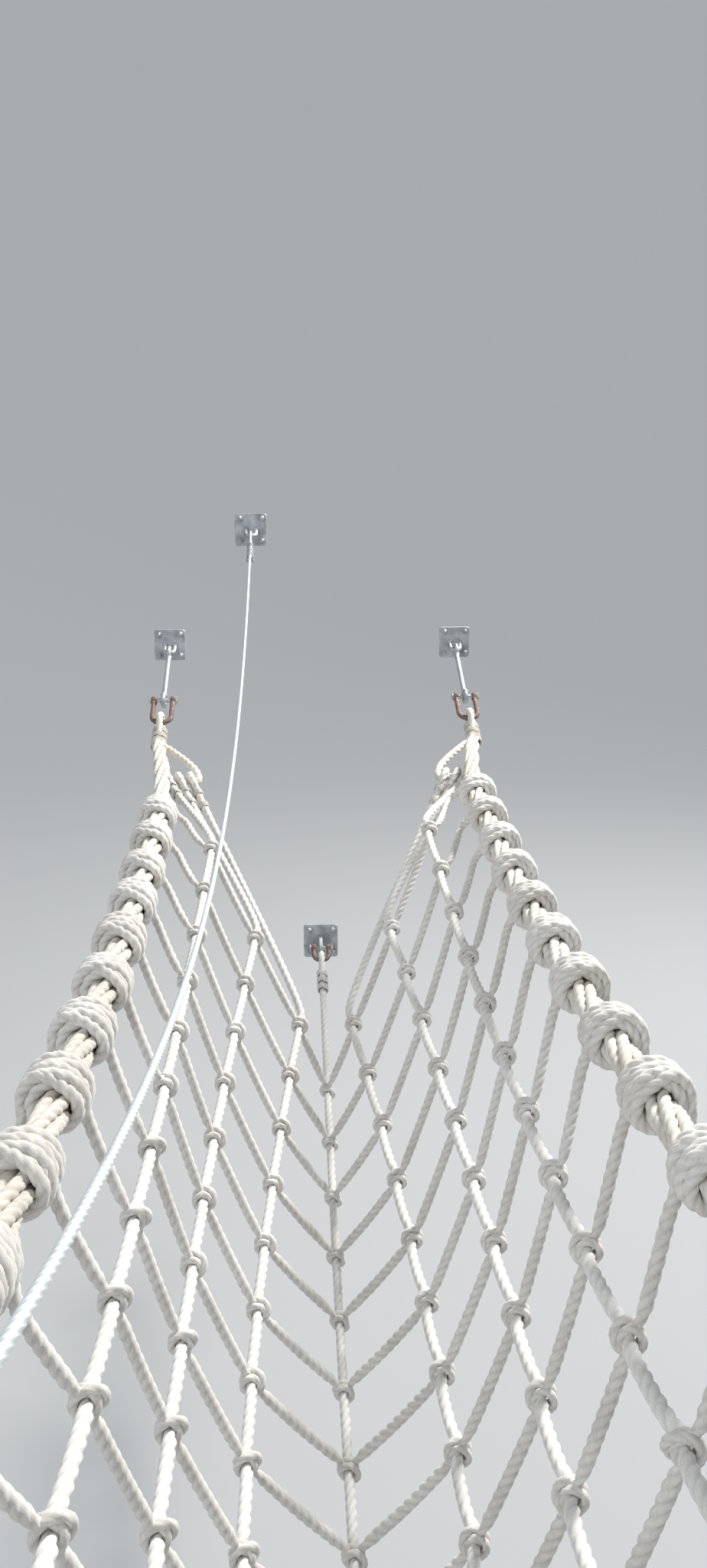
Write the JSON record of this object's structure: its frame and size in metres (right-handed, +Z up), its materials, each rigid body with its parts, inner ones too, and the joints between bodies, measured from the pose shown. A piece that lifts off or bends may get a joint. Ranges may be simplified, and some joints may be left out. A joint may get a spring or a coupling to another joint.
{
  "type": "rope suspension footbridge",
  "caption": "Suspended rope footbridge with a V-shaped knotted net between thick handrails, a foot rope as its walkway and a steel safety cable beside it.",
  "frame": {"origin": "middle of the back face of the near foot rope plate", "axes": "+Y along the bridge to its far end, +X to the right, +Z up"},
  "size_m": [1.452, 6.3452, 2.3861],
  "materials": {
    "rail_rope": "laid fibre rope, weathered cream",
    "side_rope": "laid fibre rope, white",
    "rib_rope": "laid fibre rope, greyed",
    "bright_steel": "galvanised, dull",
    "rusty_steel": "galvanising worn through to light rust",
    "cable_steel": "stranded galvanised wire"
  },
  "bodies": {
    "root": {"handrail_left": "rail_rope", "side_rope_left_upper": "side_rope", "side_rope_left_middle": "side_rope", "side_rope_left_lower": "side_rope", "handrail_right": "rail_rope", "side_rope_right_upper": "side_rope", "side_rope_right_middle": "side_rope", "side_rope_right_lower": "side_rope", "foot_rope": "side_rope", "rib_rope_01": "rib_rope", "rib_rope_02": "rib_rope", "rib_rope_03": "rib_rope", "rib_rope_04": "rib_rope", "rib_rope_05": "rib_rope", "rib_rope_06": "rib_rope", "rib_rope_07": "rib_rope", "rib_rope_08": "rib_rope", "rib_rope_09": "rib_rope", "rib_rope_10": "rib_rope", "rib_rope_11": "rib_rope", "rib_rope_12": "rib_rope", "rib_rope_13": "rib_rope", "rib_rope_14": "rib_rope", "rib_rope_15": "rib_rope", "safety_cable": "cable_steel", "shackle_near_left": "rusty_steel", "anchor_rod_near_left": "bright_steel", "anchor_plate_near_left": "bright_steel", "shackle_near_right": "rusty_steel", "anchor_rod_near_right": "bright_steel", "anchor_plate_near_right": "bright_steel", "foot_shackle_near": "rusty_steel", "foot_plate_near": "bright_steel", "cable_plate_near": "bright_steel", "shackle_far_left": "rusty_steel", "anchor_rod_far_left": "bright_steel", "anchor_plate_far_left": "bright_steel", "shackle_far_right": "rusty_steel", "anchor_rod_far_right": "bright_steel", "anchor_plate_far_right": "bright_steel", "foot_shackle_far": "rusty_steel", "foot_plate_far": "bright_steel", "cable_plate_far": "bright_steel"}
  },
  "joints": []
}
